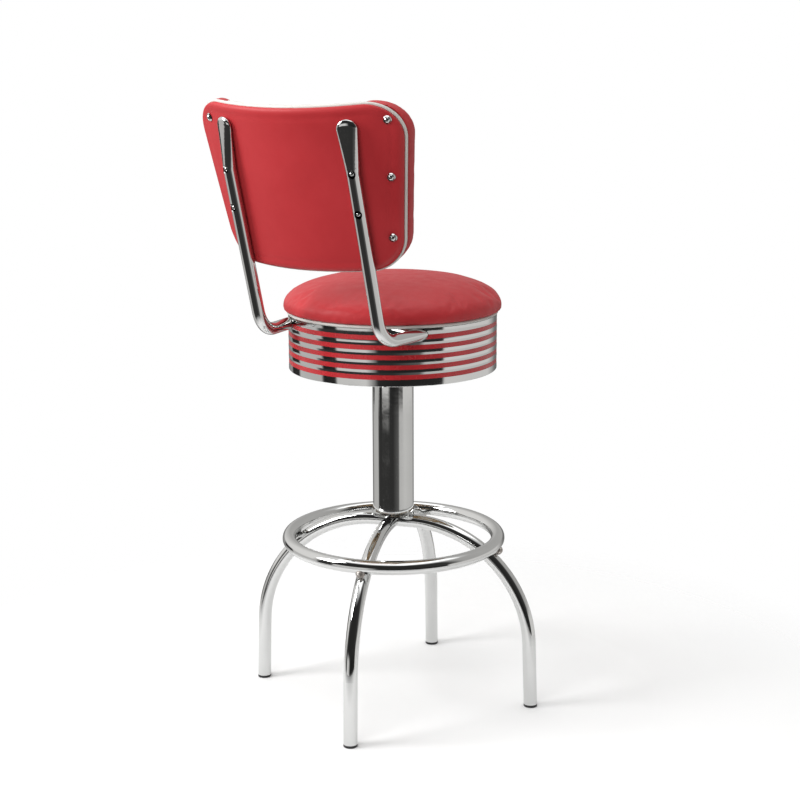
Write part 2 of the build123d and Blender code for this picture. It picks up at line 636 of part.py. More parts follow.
# ---- tube clamps under the seat --------------------------------------------------------------
def clamp_frames():
    """Local frame of each saddle clamp: X along the tube and Z up, at the tube's centreline."""
    frames = []
    for side in (-1, 1):
        start, end = back_run_point(side, 0), back_run_point(side, BACK_RUN_IN)
        along = Vector(*end) - Vector(*start)
        for inwards in CLAMP_INWARDS:
            place = Vector(*back_run_point(side, inwards))
            frames.append(Plane(origin=place, x_dir=along, z_dir=(0, 0, 1)))
    return frames


def tube_clamps():
    """Steel saddles that hold the tubes up against the seat board."""
    ear_z = BOARD_Z - BACK_TUBE_Z - CLAMP_T
    hoop = Rot(0, 90, 0) * extrude(Circle(BACK_TUBE_R + CLAMP_T), CLAMP_W / 2, both=True)
    ear_span = 2 * (CLAMP_REACH + CLAMP_EAR_OUT)
    ears = Pos(0, 0, ear_z + CLAMP_T / 2) * Box(CLAMP_W, ear_span, CLAMP_T)
    block = Pos(0, 0, ear_z / 2) * Box(CLAMP_W, 2 * (BACK_TUBE_R + CLAMP_T), ear_z + CLAMP_T)
    shape = hoop + ears + block
    way = Rot(0, 90, 0) * extrude(Circle(BACK_TUBE_R + RUN_GAP), CLAMP_W, both=True)
    gap = Pos(0, 0, BACK_TUBE_R) * Box(2 * CLAMP_W, 2 * (BACK_TUBE_R + RUN_GAP), 2 * BACK_TUBE_R)
    above = Pos(0, 0, BOARD_Z - BACK_TUBE_Z + ear_span / 2) * Box(2 * ear_span, 2 * ear_span, ear_span)
    shape = shape - way - gap - above
    for y in (-CLAMP_REACH, CLAMP_REACH):
        shape -= Pos(0, y, 0) * extrude(Circle(WOOD_SCREW_R + 2 * THREAD_GAP), 3 * CUT, both=True)
    return group(frame * shape for frame in clamp_frames())


def clamp_screw_places():
    places = []
    for frame in clamp_frames():
        for y in (-CLAMP_REACH, CLAMP_REACH):
            spot = frame.from_local_coords(Vector(0, y, 0))
            places.append((spot.X, spot.Y))
    return places


def clamp_screws():
    """Wood screws up through the clamps' ears into the seat board."""
    screw = wood_screw(BOARD_Z - CLAMP_T, CLAMP_SCREW_IN - 1)
    return group(Pos(x, y, 0) * screw for x, y in clamp_screw_places())


# ---- back panel ------------------------------------------------------------------------------
def panel_axis_y():
    """Rear distance, in the back's frame, of the line that the curved panel is wrapped round."""
    touch = -BACK_TUBE_R - THREAD_GAP
    sag = PANEL_CURVE_R - sqrt(PANEL_CURVE_R**2 - BACK_TUBE_X**2)
    return touch + sag - PANEL_CURVE_R


def panel_outline(grow):
    """Rounded trapezoid of the back seen square on, wider at its top."""
    top_w, bottom_w = PANEL_TOP_HALF_W + grow, PANEL_BOTTOM_HALF_W + grow
    top, bottom = PANEL_TOP + grow, PANEL_BOTTOM - grow
    corners = [(-bottom_w, bottom), (bottom_w, bottom), (top_w, top), (-top_w, top)]
    face = make_face(Polyline(*corners, close=True))
    return fillet(face.vertices(), PANEL_CORNER_R + grow)


def panel_layer(grow, front, rear):
    """Curved slab of the back between two depths measured forward from its rear skin."""
    outer, inner = PANEL_CURVE_R - rear, PANEL_CURVE_R - front
    sheet = Pos(0, panel_axis_y(), PANEL_BOTTOM - 3 * CUT)
    sheet = sheet * (extrude(Circle(outer) - Circle(inner), PANEL_TOP - PANEL_BOTTOM + 6 * CUT))
    prism = extrude(Plane.XZ * panel_outline(grow), PANEL_CURVE_R / 2, both=True)
    slab = (sheet & prism).solids().sort_by(Axis.Y)[-1]
    return back_plane() * slab


def panel_point(x, up, depth):
    """Frame at a point of the back: its Y is the rear-facing normal there."""
    turn = asin(x / PANEL_CURVE_R)
    reach = PANEL_CURVE_R - depth
    here = back_plane() * Pos(reach * sin(turn), panel_axis_y() + reach * cos(turn), up)
    return here * Rot(0, 0, -degrees(turn))


def screw_frames():
    return [panel_point(x, up, 0) for x, up in BACK_SCREWS]


def bar_in(frame, radius, front, rear):
    return frame * Pos(0, front, 0) * Rot(-90, 0, 0) * extrude(Circle(radius), rear - front)


def cut_fixings(body, screw_r, bolt_r):
    """Clear the holes of the back screws and of the bolts through the uprights."""
    for frame in screw_frames():
        body -= bar_in(frame, screw_r, -REAR_PANEL_T - BACK_BOARD_T - 2, CUT)
    for side in (-1, 1):
        for up in BACK_BOLT_UP:
            body -= bolt_bar(side, up, bolt_r, -BACK_TUBE_R - REAR_PANEL_T - 3 * CUT, 0)
    return body


def rear_panel():
    """Vinyl-covered panel that closes the rear of the back."""
    return cut_fixings(panel_layer(0, REAR_PANEL_T, 0), BACK_SCREW_R + THREAD_GAP, BACK_BOLT_R + THREAD_GAP)


def back_board():
    """Curved plywood core."""
    rear = REAR_PANEL_T + LAYER_GAP
    board = panel_layer(-BOARD_MARGIN, rear + BACK_BOARD_T, rear)
    return cut_fixings(board, BACK_SCREW_R + THREAD_GAP, BACK_BOLT_R + THREAD_GAP)


def back_welt():
    """Piping round the edge between the rear panel and the front cushion."""
    rear = REAR_PANEL_T + LAYER_GAP
    front = rear + WELT_H
    return panel_layer(WELT_OUT, front, rear) - panel_layer(-WELT_IN, front + 1, rear - 1)


def back_pad(grow, front, rear, soft):
    """Front cushion's form with its front edges rounded over."""
    pad = panel_layer(grow, front, rear)
    broad = pad.faces().sort_by(SortBy.AREA)[-2:]
    return pad.fillet(soft, broad.sort_by(Axis.Y)[0].edges())


def back_cushion_parts():
    """Foam, and the cover in three: a red wing on each side of the white V."""
    outer = back_pad(CUSHION_GROW, BACK_T, PAD_REAR, FRONT_SOFT_R)
    inner = back_pad(CUSHION_GROW - COVER_T, BACK_T - COVER_T, PAD_REAR - 1, FRONT_SOFT_R - 1)
    board_room = panel_layer(0.1 - BOARD_MARGIN, REAR_PANEL_T + 2 * LAYER_GAP + BACK_BOARD_T, 0)
    foam = (inner & panel_layer(2 * CUT, BACK_T, PAD_REAR)) - board_room
    shell = outer - inner
    low, high = PANEL_BOTTOM - 2 * CUT, PANEL_TOP + 2 * CUT
    slope = (V_TOP_HALF_W - V_BOTTOM_HALF_W) / (PANEL_TOP - PANEL_BOTTOM)
    low_w = V_BOTTOM_HALF_W - 2 * CUT * slope
    high_w = V_TOP_HALF_W + 2 * CUT * slope
    vee = make_face(Polyline((-low_w, low), (low_w, low), (high_w, high), (-high_w, high), close=True))
    wedge = back_plane() * extrude(Plane.XZ * vee, PANEL_CURVE_R / 2, both=True)
    centre = shell & wedge
    wings = (shell - wedge).solids().sort_by(Axis.X)
    return foam, centre, wings[0], wings[-1]


def back_screws():
    """Raised-head screws and their cup washers stand proud of the rear panel."""
    screws = []
    for frame in screw_frames():
        shank = bar_in(frame, BACK_SCREW_R, -REAR_PANEL_T - BACK_SCREW_IN, 1)
        ball = frame * Pos(0, -BACK_SCREW_HEAD_IN, 0) * Sphere(BACK_SCREW_HEAD_R)
        dome = ball & bar_in(frame, SCREW_CUP_R, SCREW_CUP_FLOOR + THREAD_GAP, CUT)
        screws.append(shank + dome)
    return group(screws)


def screw_cups():
    cups = []
    for frame in screw_frames():
        foot = Pos(0, RUN_GAP, 0) * Rot(-90, 0, 0) * Circle(SCREW_CUP_R)
        lip = Pos(0, SCREW_CUP_H, 0) * Rot(-90, 0, 0) * Circle(SCREW_CUP_R - SCREW_CUP_TAPER)
        cup = frame * loft([foot, lip])
        cup -= bar_in(frame, BACK_SCREW_HEAD_R + THREAD_GAP, SCREW_CUP_FLOOR, CUT)
        cups.append(cup - bar_in(frame, BACK_SCREW_R + THREAD_GAP, -1, CUT))
    return group(cups)


def build():
    legs = [LEG_TURN + 90 * k for k in range(4)]
    first_leg = Rot(0, 0, 90) * long_leg()
    side_leg = short_leg()
    single = hollow_sweep(leg_path(), TUBE_R, 0)
    weld = ring_weld(single, Pos(0, 0, ring_rest_z()) * Torus(FOOT_RING_R, TUBE_R))
    foam, centre, left_wing, right_wing = back_cushion_parts()
    turn = Rot(0, 0, LEG_TURN)
    return {
        "long_leg": turn * first_leg,
        "short_leg_right": turn * side_leg,
        "short_leg_left": turn * Rot(0, 0, 180) * side_leg,
        "glides": spin_copies(glide(), legs),
        "foot_ring": foot_ring(),
        "foot_ring_welds": spin_copies(weld, legs),
        "hub_plate": hub_plate(),
        "column": column(),
        "column_bush": column_bush(),
        "lock_bosses": spin_copies(lock_boss(), LOCK_TURNS),
        "lock_screws": spin_copies(lock_screw(), LOCK_TURNS),
        "inner_post": inner_post(),
        "post_foot_bush": post_foot_bush(),
        "swivel_lower_plate": swivel_lower_plate(),
        "swivel_balls": swivel_balls(),
        "ball_cage": ball_cage(),
        "king_bolt": king_bolt(),
        "king_nut": king_nut(),
        "swivel_top_plate": swivel_top_plate(),
        "plate_bolts": plate_bolts(),
        "tee_nuts": tee_nuts(),
        "skirt": skirt(),
        "groove_bands": groove_bands(),
        "skirt_screws": skirt_screws(),
        "seat_board": seat_board(),
        "seat_foam": seat_foam(),
        "seat_cover": seat_cover(),
        "seat_welt": seat_welt(),
        "back_tube_left": back_tube(1),
        "back_tube_right": back_tube(-1),
        "tube_clamps": tube_clamps(),
        "clamp_screws": clamp_screws(),
        "tube_bolts": tube_bolts(),
        "rear_panel": rear_panel(),
        "back_board": back_board(),
        "back_welt": back_welt(),
        "back_foam": foam,
        "back_cover_centre": centre,
        "back_cover_right": left_wing,
        "back_cover_left": right_wing,
        "back_screws": back_screws(),
        "screw_cups": screw_cups(),
    }


for name, shape in build().items():
    export_step(Pos(0, COLUMN_Y, 0) * shape, f"parts/{name}.step")
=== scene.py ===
"""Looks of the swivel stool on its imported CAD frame: upholstery, piping, metal, studio, camera."""
import json
import math

import bmesh
import bpy
import numpy as np
from mathutils import Matrix, Vector


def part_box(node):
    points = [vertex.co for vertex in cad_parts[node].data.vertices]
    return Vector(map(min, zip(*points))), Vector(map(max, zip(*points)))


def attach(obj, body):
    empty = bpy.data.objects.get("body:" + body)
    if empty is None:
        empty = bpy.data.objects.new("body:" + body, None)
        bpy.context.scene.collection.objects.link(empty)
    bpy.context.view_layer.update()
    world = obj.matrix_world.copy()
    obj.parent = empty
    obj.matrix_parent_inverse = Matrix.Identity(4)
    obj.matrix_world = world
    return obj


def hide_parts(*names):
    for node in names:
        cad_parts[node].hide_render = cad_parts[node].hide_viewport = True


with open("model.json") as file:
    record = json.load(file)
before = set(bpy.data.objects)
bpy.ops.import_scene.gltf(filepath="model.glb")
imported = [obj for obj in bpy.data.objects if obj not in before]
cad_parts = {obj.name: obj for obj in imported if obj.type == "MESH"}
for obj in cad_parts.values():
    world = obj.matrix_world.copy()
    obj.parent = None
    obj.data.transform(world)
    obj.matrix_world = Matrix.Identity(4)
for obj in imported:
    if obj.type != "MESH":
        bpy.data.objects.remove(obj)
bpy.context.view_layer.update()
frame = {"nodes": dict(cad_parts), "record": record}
scene = bpy.context.scene
scene.view_settings.view_transform = "Standard"
NODES = frame["nodes"]


def axis_of(node):
    low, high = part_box(node)
    return Vector(((low.x + high.x) / 2, (low.y + high.y) / 2, 0))


AXIS = axis_of("column")        # the column's line, which the stool turns about

# ---- camera ----------------------------------------------------------------------------------
CAM_TURN = math.radians(211)    # the photo looks at the stool's rear, a little from its right
CAM_YAW, CAM_PITCH, CAM_ROLL = -0.0044, 0.2137, -0.0037
CAM_DISTANCE, CAM_HEIGHT = 2.9517, 1.2111
LENS = 73.585


def add_camera():
    yaw, pitch, roll = CAM_YAW, CAM_PITCH, CAM_ROLL
    right = Vector((math.cos(yaw), math.sin(yaw), 0))
    level = Vector((-math.sin(yaw), math.cos(yaw), 0))
    up_z = Vector((0, 0, 1))
    forward = math.cos(pitch) * level - math.sin(pitch) * up_z
    up = math.sin(pitch) * level + math.cos(pitch) * up_z
    side = math.cos(roll) * right + math.sin(roll) * up
    top = math.cos(roll) * up - math.sin(roll) * right
    turn = Matrix.Rotation(CAM_TURN, 4, "Z")
    basis = Matrix((side, top, -forward)).transposed().to_4x4()
    place = Matrix.Translation(AXIS) @ turn @ Matrix.Translation((0, -CAM_DISTANCE, CAM_HEIGHT))
    data = bpy.data.cameras.new("camera")
    data.lens, data.sensor_width = LENS, 36.0
    camera = bpy.data.objects.new("camera", data)
    scene.collection.objects.link(camera)
    camera.matrix_world = place @ basis
    scene.camera = camera


add_camera()


# ---- materials -------------------------------------------------------------------------------
class Paint:
    """A material under construction: its node tree, shader and object coordinates."""

    def __init__(self, name, color, rough, **sockets):
        self.mat = bpy.data.materials.new(name)
        self.mat.use_nodes = True
        self.tree = self.mat.node_tree
        self.shader = self.tree.nodes["Principled BSDF"]
        self.set("Base Color", (*color, 1))
        self.set("Roughness", rough)
        for key, value in sockets.items():
            self.set(key.replace("_", " "), value)
        self.mat.diffuse_color = (*color, 1)
        self.coords = self.node("ShaderNodeTexCoord").outputs["Object"]
        self.height = None

    def set(self, socket, value):
        self.shader.inputs[socket].default_value = value

    def node(self, kind, **settings):
        node = self.tree.nodes.new(kind)
        for key, value in settings.items():
            setattr(node, key, value)
        return node

    def link(self, source, target):
        self.tree.links.new(source, target)

    def noise(self, scale, detail=2.0, rough=0.5, stretch=None):
        node = self.node("ShaderNodeTexNoise")
        node.inputs["Scale"].default_value = scale
        node.inputs["Detail"].default_value = detail
        node.inputs["Roughness"].default_value = rough
        self.place(node, stretch)
        return node.outputs["Fac"]

    def cells(self, scale, feature="F1", stretch=None):
        node = self.node("ShaderNodeTexVoronoi", feature=feature)
        node.inputs["Scale"].default_value = scale
        self.place(node, stretch)
        return node.outputs["Distance"]

    def place(self, node, stretch):
        if stretch is None:
            self.link(self.coords, node.inputs["Vector"])
            return
        mapping = self.node("ShaderNodeMapping")
        mapping.inputs["Scale"].default_value = stretch
        self.link(self.coords, mapping.inputs["Vector"])
        self.link(mapping.outputs["Vector"], node.inputs["Vector"])

    def ramp(self, source, low, high, start=0.3, end=0.7):
        """Maps a grey value to a range of grey or between two colours."""
        if isinstance(low, tuple):
            node = self.node("ShaderNodeValToRGB")
            node.color_ramp.elements[0].position = start
            node.color_ramp.elements[1].position = end
            node.color_ramp.elements[0].color = (*low, 1)
            node.color_ramp.elements[1].color = (*high, 1)
            self.link(source, node.inputs["Fac"])
            return node.outputs["Color"]
        node = self.node("ShaderNodeMapRange")
        limits = {"From Min": start, "From Max": end, "To Min": low, "To Max": high}
        for key, value in limits.items():
            node.inputs[key].default_value = value
        self.link(source, node.inputs["Value"])
        return node.outputs["Result"]

    def drive(self, socket, source):
        self.link(source, self.shader.inputs[socket])

    def bump(self, source, strength, distance):
        """Adds one layer of relief, in metres."""
        node = self.node("ShaderNodeBump")
        node.inputs["Strength"].default_value = strength
        node.inputs["Distance"].default_value = distance
        self.link(source, node.inputs["Height"])
        if self.height:
            self.link(self.height, node.inputs["Normal"])
        self.height = node.outputs["Normal"]
        self.link(self.height, self.shader.inputs["Normal"])


def vinyl(name, color, dark, rough=0.46):
    """Satin upholstery vinyl: pebbled grain, faint mottling and slightly uneven sheen."""
    paint = Paint(name, color, rough, Coat_Weight=0.05, Coat_Roughness=0.35)
    paint.set("Specular IOR Level", 0.25)
    mottle = paint.noise(9, 4, 0.55)
    paint.drive("Base Color", paint.ramp(mottle, dark, color))
    paint.drive("Roughness", paint.ramp(paint.noise(60, 3), rough - 0.05, rough + 0.07))
    paint.bump(paint.noise(26, 3), 0.25, 0.0012)
    paint.bump(paint.cells(820, "SMOOTH_F1"), 0.22, 0.00022)
    paint.bump(paint.noise(2400, 2), 0.10, 0.00008)
    return paint.mat


def chrome(name, color=(0.66, 0.665, 0.66), rough=0.05):
    """Bright plate with polishing haze, faint ripple and a few duller patches."""
    paint = Paint(name, color, rough, Metallic=1.0)
    haze = paint.noise(34, 5, 0.6)
    paint.drive("Roughness", paint.ramp(haze, rough * 0.6, rough * 1.9))
    paint.drive("Base Color", paint.ramp(paint.noise(12, 3), tuple(c * 0.94 for c in color), color))
    paint.bump(paint.noise(45, 2), 0.08, 0.0006)
    return paint.mat


def steel(name, color, rough, brushed=(1, 1, 1)):
    """Plain or plated steel with fine tool lines."""
    paint = Paint(name, color, rough, Metallic=1.0)
    lines = paint.noise(420, 3, 0.6, brushed)
    paint.drive("Roughness", paint.ramp(lines, rough * 0.7, rough * 1.35))
    paint.drive("Base Color", paint.ramp(paint.noise(40, 4), tuple(c * 0.8 for c in color), color))
    paint.bump(lines, 0.15, 0.00012)
    return paint.mat


def plastic(name, color, rough, grain=700):
    paint = Paint(name, color, rough)
    paint.drive("Roughness", paint.ramp(paint.noise(90, 3), rough - 0.06, rough + 0.08))
    paint.drive("Base Color", paint.ramp(paint.noise(30, 3), tuple(c * 0.85 for c in color), color))
    paint.bump(paint.noise(grain, 2), 0.12, 0.00015)
    return paint.mat


def weld_bead():
    paint = Paint("weld", (0.33, 0.27, 0.22), 0.42, Metallic=1.0)
    dark, pale = (0.20, 0.17, 0.15), (0.60, 0.57, 0.54)
    paint.drive("Base Color", paint.ramp(paint.noise(160, 4), dark, pale))
    paint.drive("Roughness", paint.ramp(paint.noise(220, 3), 0.3, 0.6))
    paint.bump(paint.cells(330, "SMOOTH_F1", (1, 1, 2.5)), 0.8, 0.0012)
    return paint.mat


def plywood():
    paint = Paint("plywood", (0.55, 0.38, 0.22), 0.62)
    grain = paint.noise(70, 6, 0.65, (1, 8, 30))
    paint.drive("Base Color", paint.ramp(grain, (0.36, 0.22, 0.11), (0.66, 0.48, 0.29)))
    paint.drive("Roughness", paint.ramp(grain, 0.55, 0.75))
    paint.bump(grain, 0.35, 0.0004)
    return paint.mat


def open_foam():
    paint = Paint("foam", (0.80, 0.70, 0.42), 0.9)
    dark, pale = (0.70, 0.58, 0.32), (0.84, 0.76, 0.50)
    paint.drive("Base Color", paint.ramp(paint.noise(14, 3), dark, pale))
    paint.bump(paint.cells(900), 0.7, 0.0005)
    return paint.mat


RED = (0.50, 0.036, 0.042)
FINISH = {
    "red_vinyl": vinyl("red_vinyl", RED, (0.445, 0.029, 0.034)),
    "white_vinyl": vinyl("white_vinyl", (0.66, 0.645, 0.61), (0.60, 0.58, 0.545)),
    "white_piping": vinyl("white_piping", (0.66, 0.65, 0.62), (0.59, 0.57, 0.54), 0.36),
    "red_band": plastic("red_band", (0.52, 0.028, 0.035), 0.24, 300),
    "chrome": chrome("chrome"),
    "weld": weld_bead(),
    "black_plastic": plastic("black_plastic", (0.012, 0.012, 0.013), 0.42),
    "nylon": plastic("nylon", (0.76, 0.74, 0.68), 0.4, 300),
    "bright_steel": steel("bright_steel", (0.62, 0.61, 0.60), 0.22, (1, 1, 0.05)),
    "plated_steel": steel("plated_steel", (0.66, 0.64, 0.58), 0.34),
    "fastener_steel": steel("fastener_steel", (0.60, 0.60, 0.61), 0.26),
    "plywood": plywood(),
    "foam": open_foam(),
}
for entry in frame["record"]["subparts"]:
    node = NODES[entry["node"]]
    node.data.materials.clear()
    node.data.materials.append(FINISH[entry["material_slot"]])


# ---- mesh helpers ----------------------------------------------------------------------------
def make_object(name, vertices, faces):
    mesh = bpy.data.meshes.new(name)
    mesh.from_pydata([tuple(v) for v in vertices], [], faces)
    mesh.validate()
    item = bpy.data.objects.new(name, mesh)
    scene.collection.objects.link(item)
    return item


def ring_round_axis(radius, z, count):
    """Points of a level circle round the column's line."""
    turns = [2 * math.pi * k / count for k in range(count)]
    return [AXIS + Vector((radius * math.cos(a), radius * math.sin(a), z)) for a in turns]


def shell_of_rings(name, rings, closed_ends=True):
    """Skin over a stack of rings with the same number of points, with a point at each end."""
    count = len(rings[0])
    vertices = [p for one in rings for p in one]
    faces = []
    for k in range(len(rings) - 1):
        for i in range(count):
            j = (i + 1) % count
            faces.append((k * count + i, k * count + j, (k + 1) * count + j, (k + 1) * count + i))
    if closed_ends:
        for k in (0, len(rings) - 1):
            middle = sum((Vector(p) for p in rings[k]), Vector()) / count
            vertices.append(middle)
            tip = len(vertices) - 1
            for i in range(count):
                pair = (k * count + i, k * count + (i + 1) % count)
                faces.append((*(pair if k else pair[::-1]), tip))
    return make_object(name, vertices, faces)


def face_outwards(item):
    work = bmesh.new()
    work.from_mesh(item.data)
    bmesh.ops.recalc_face_normals(work, faces=work.faces)
    work.to_mesh(item.data)
    work.free()


def finish_piece(item, slot, body):
    face_outwards(item)
    item.data.polygons.foreach_set("use_smooth", [True] * len(item.data.polygons))
    item.data.materials.clear()
    item.data.materials.append(FINISH[slot])
    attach(item, body)
    return item


def apply_modifiers(item):
    bpy.context.view_layer.update()
    graph = bpy.context.evaluated_depsgraph_get()
    final = bpy.data.meshes.new_from_object(item.evaluated_get(graph))
    item.modifiers.clear()
    item.data = final


def points_of(item):
    flat = np.empty(len(item.data.vertices) * 3)
    item.data.vertices.foreach_get("co", flat)
    return flat.reshape(-1, 3)


def set_points(item, points):
    item.data.vertices.foreach_set("co", np.asarray(points, float).ravel())
    item.data.update()


VOXEL = 0.005
CLOTH_FRAMES = 20
CLOTH_PRESSURE = 4.0
ROUND_SIDES = 96                # sides of the seat cushion and the floor


def remesh(item):
    rebuild = item.modifiers.new("remesh", "REMESH")
    rebuild.mode, rebuild.voxel_size = "VOXEL", VOXEL
    apply_modifiers(item)


def inflate(item, held, cap):
    """Cloth under pressure from inside; held points stay and the others move up to cap."""
    start = points_of(item)
    pins = item.vertex_groups.new(name="held")
    pins.add([int(i) for i in np.flatnonzero(held)], 1.0, "REPLACE")
    cloth = item.modifiers.new("cloth", "CLOTH")
    settings = cloth.settings
    settings.quality = 5
    settings.mass = 0.3
    settings.tension_stiffness = settings.compression_stiffness = 25
    settings.bending_stiffness = 6
    settings.use_pressure = True
    settings.uniform_pressure_force = CLOTH_PRESSURE
    settings.vertex_group_mass = "held"
    settings.effector_weights.gravity = 0
    cloth.point_cache.frame_start, cloth.point_cache.frame_end = 1, CLOTH_FRAMES
    for number in range(1, CLOTH_FRAMES + 1):
        scene.frame_set(number)
    apply_modifiers(item)
    moved = points_of(item) - start
    length = np.linalg.norm(moved, axis=1, keepdims=True)
    share = np.where(length > 1e-9, cap * np.tanh(length / cap) / np.maximum(length, 1e-9), 0)
    set_points(item, start + moved * share)
    scene.frame_set(1)


def subdivide(item):
    more = item.modifiers.new("subdivide", "SUBSURF")
    more.levels = more.render_levels = 1
    apply_modifiers(item)


# ---- seat cushion ----------------------------------------------------------------------------
SEAT_LOW, SEAT_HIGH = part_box("seat_cover")
SEAT_R = (SEAT_HIGH.x - SEAT_LOW.x) / 2
SEAT_BASE_R = SEAT_R - 0.0095
SEAT_WIDE_Z = 0.7535
SEAT_CLEAR = 0.0003             # the cushion's underside above the piping
SEAT_SLACK = 0.006              # how much smaller the cushion starts before it is blown up
SEAT_HELD = 0.006               # the cushion's lowest part, which doesn't move as it is blown up
SEAT_RISE_CAP = 0.012
SEAT_FACETS = 12                # steps from the crown round to the widest line


def seat_profile(slack):
    """Half section from the middle of the crown round to the middle of the underside."""
    rim, top = SEAT_R - slack, SEAT_HIGH.z - slack
    profile = [(0.012, top)]
    for k in range(1, SEAT_FACETS + 1):
        a = math.radians(90 * k / SEAT_FACETS)
        rise = (top - SEAT_WIDE_Z) * math.cos(a) ** 0.84
        profile.append((rim * math.sin(a) ** 0.86, SEAT_WIDE_Z + rise))
    low = SEAT_LOW.z + SEAT_CLEAR
    profile += [(rim - 0.0012, SEAT_WIDE_Z - 0.005), (SEAT_BASE_R + 0.003, low + 0.0015)]
    profile += [(SEAT_BASE_R, low), (0.12, low), (0.012, low)]
    return profile


def seat_cushion():
    rings = [ring_round_axis(radius, z, ROUND_SIDES) for radius, z in seat_profile(SEAT_SLACK)]
    cushion = shell_of_rings("seat_cushion", rings)
    face_outwards(cushion)
    remesh(cushion)
    inflate(cushion, points_of(cushion)[:, 2] < SEAT_LOW.z + SEAT_HELD, SEAT_RISE_CAP)
    subdivide(cushion)
    points = points_of(cushion) - np.array(AXIS)
    reach = np.hypot(points[:, 0], points[:, 1])
    points[:, :2] *= SEAT_R / reach.max()
    high = points[:, 2] > SEAT_WIDE_Z
    rise = points[high, 2] - SEAT_WIDE_Z
    points[high, 2] = SEAT_WIDE_Z + rise * (SEAT_HIGH.z - SEAT_WIDE_Z) / rise.max()
    points = gather(points)
    points[:, 2] = np.maximum(points[:, 2], SEAT_LOW.z + SEAT_CLEAR)
    set_points(cushion, points + np.array(AXIS))
    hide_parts("seat_cover", "seat_foam")
    return finish_piece(cushion, "red_vinyl", "seat")


def gather(points):
    """Small pleats where the cover is drawn in under the rim."""
    reach = np.hypot(points[:, 0], points[:, 1])
    angle = np.arctan2(points[:, 1], points[:, 0])
    under = np.clip((SEAT_WIDE_Z + 0.002 - points[:, 2]) / 0.010, 0, 1)
    near = under * (reach > SEAT_BASE_R - 0.004)
    wave = np.sin(angle * 57 + 1.3 * np.sin(angle * 7)) * (0.6 + 0.4 * np.sin(angle * 11 + 2))
    points[:, :2] *= (1 + 0.0005 * near * wave / np.maximum(reach, 0.05))[:, None]
    return points


# ---- piping ----------------------------------------------------------------------------------
def tube_round(name, centres, radius, sides=14):
    """Closed tube along a closed loop of points, its rings square to the line."""
    count = len(centres)
    middle = sum(centres, Vector()) / count
    vertices, faces = [], []
    for k, here in enumerate(centres):
        along = (centres[(k + 1) % count] - centres[k - 1]).normalized()
        out = here - middle
        out = (out - along * out.dot(along)).normalized()
        other = along.cross(out)
        swell = 1 + 0.02 * math.sin(k * 0.9) * math.sin(k * 0.23)
        for i in range(sides):
            a = 2 * math.pi * i / sides
            vertices.append(here + radius * swell * (math.cos(a) * out + math.sin(a) * other))
    for k in range(count):
        for i in range(sides):
            j, n = (i + 1) % sides, (k + 1) % count
            faces.append((k * sides + i, k * sides + j, n * sides + j, n * sides + i))
    return make_object(name, vertices, faces)


def seat_piping():
    low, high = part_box("seat_welt")
    radius = (high.z - low.z) / 2 - 0.0002
    reach = (high.x - low.x) / 2 - radius
    piping = tube_round("seat_piping", ring_round_axis(reach, high.z - radius, 360), radius)
    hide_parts("seat_welt")
    return finish_piece(piping, "white_piping", "seat")


# ---- back: shape shared by its pieces --------------------------------------------------------
# The back's frame: x across, "up" along the slope and "depth" forward from the rear skin.
RECLINE = math.radians(16)
BACK_REF = AXIS + Vector((0, 0.275, 0.850))
BACK_REAR = Vector((0, math.cos(RECLINE), -math.sin(RECLINE)))
BACK_UP = Vector((0, math.sin(RECLINE), math.cos(RECLINE)))
CURVE_R = 0.400
CURVE_AXIS = -0.39246           # line that the back is wrapped round, rearward of the tubes' line
TOP_HALF_W, BOTTOM_HALF_W = 0.204, 0.167
TOP_UP, BOTTOM_UP = 0.275, -0.005
CORNER_R = 0.057
PANEL_T = 0.007
BOARD_FRONT = 0.0174            # depth just in front of the back board
BOARD_INSET = 0.0034
PAD_REAR, PAD_FRONT = 0.0127, 0.046
PAD_GROW = 0.005
V_TOP, V_BOTTOM = 0.126, 0.052  # half widths of the white insert
SCREWS = ((-0.178, 0.247), (-0.171, 0.153), (-0.160, 0.051),     # across and up
          (0.164, 0.247), (0.146, 0.153), (0.140, 0.051))
CUP_DIP, CUP_DIP_R = 0.0011, 0.0135
PAD_SLACK, PAD_RISE_CAP = 0.003, 0.009  # as for the seat cushion
PAD_SOFT = 0.017                # radius of the pad's front edge before it is blown up
SEAM_DEPTH, SEAM_HALF_W = 0.0042, 0.0045
SEAM_GAP = 0.0004               # each side of the line that a seam is cut on


def back_points(x, up, depth):
    """Places in the row frame of points in the back's frame; all three may be arrays."""
    x, up, depth = np.broadcast_arrays(np.asarray(x, float), up, depth)
    rear = CURVE_AXIS + np.sqrt((CURVE_R - depth) ** 2 - x ** 2)
    return (np.array(BACK_REF) + x[..., None] * np.array((1.0, 0, 0))
            + rear[..., None] * np.array(BACK_REAR) + up[..., None] * np.array(BACK_UP))


def back_frame(points):
    """The reverse of back_points: x, up and depth of places in the row frame."""
    rel = points - np.array(BACK_REF)
    x, rear, up = rel[:, 0], rel @ np.array(BACK_REAR), rel @ np.array(BACK_UP)
    return x, up, CURVE_R - np.hypot(x, rear - CURVE_AXIS)


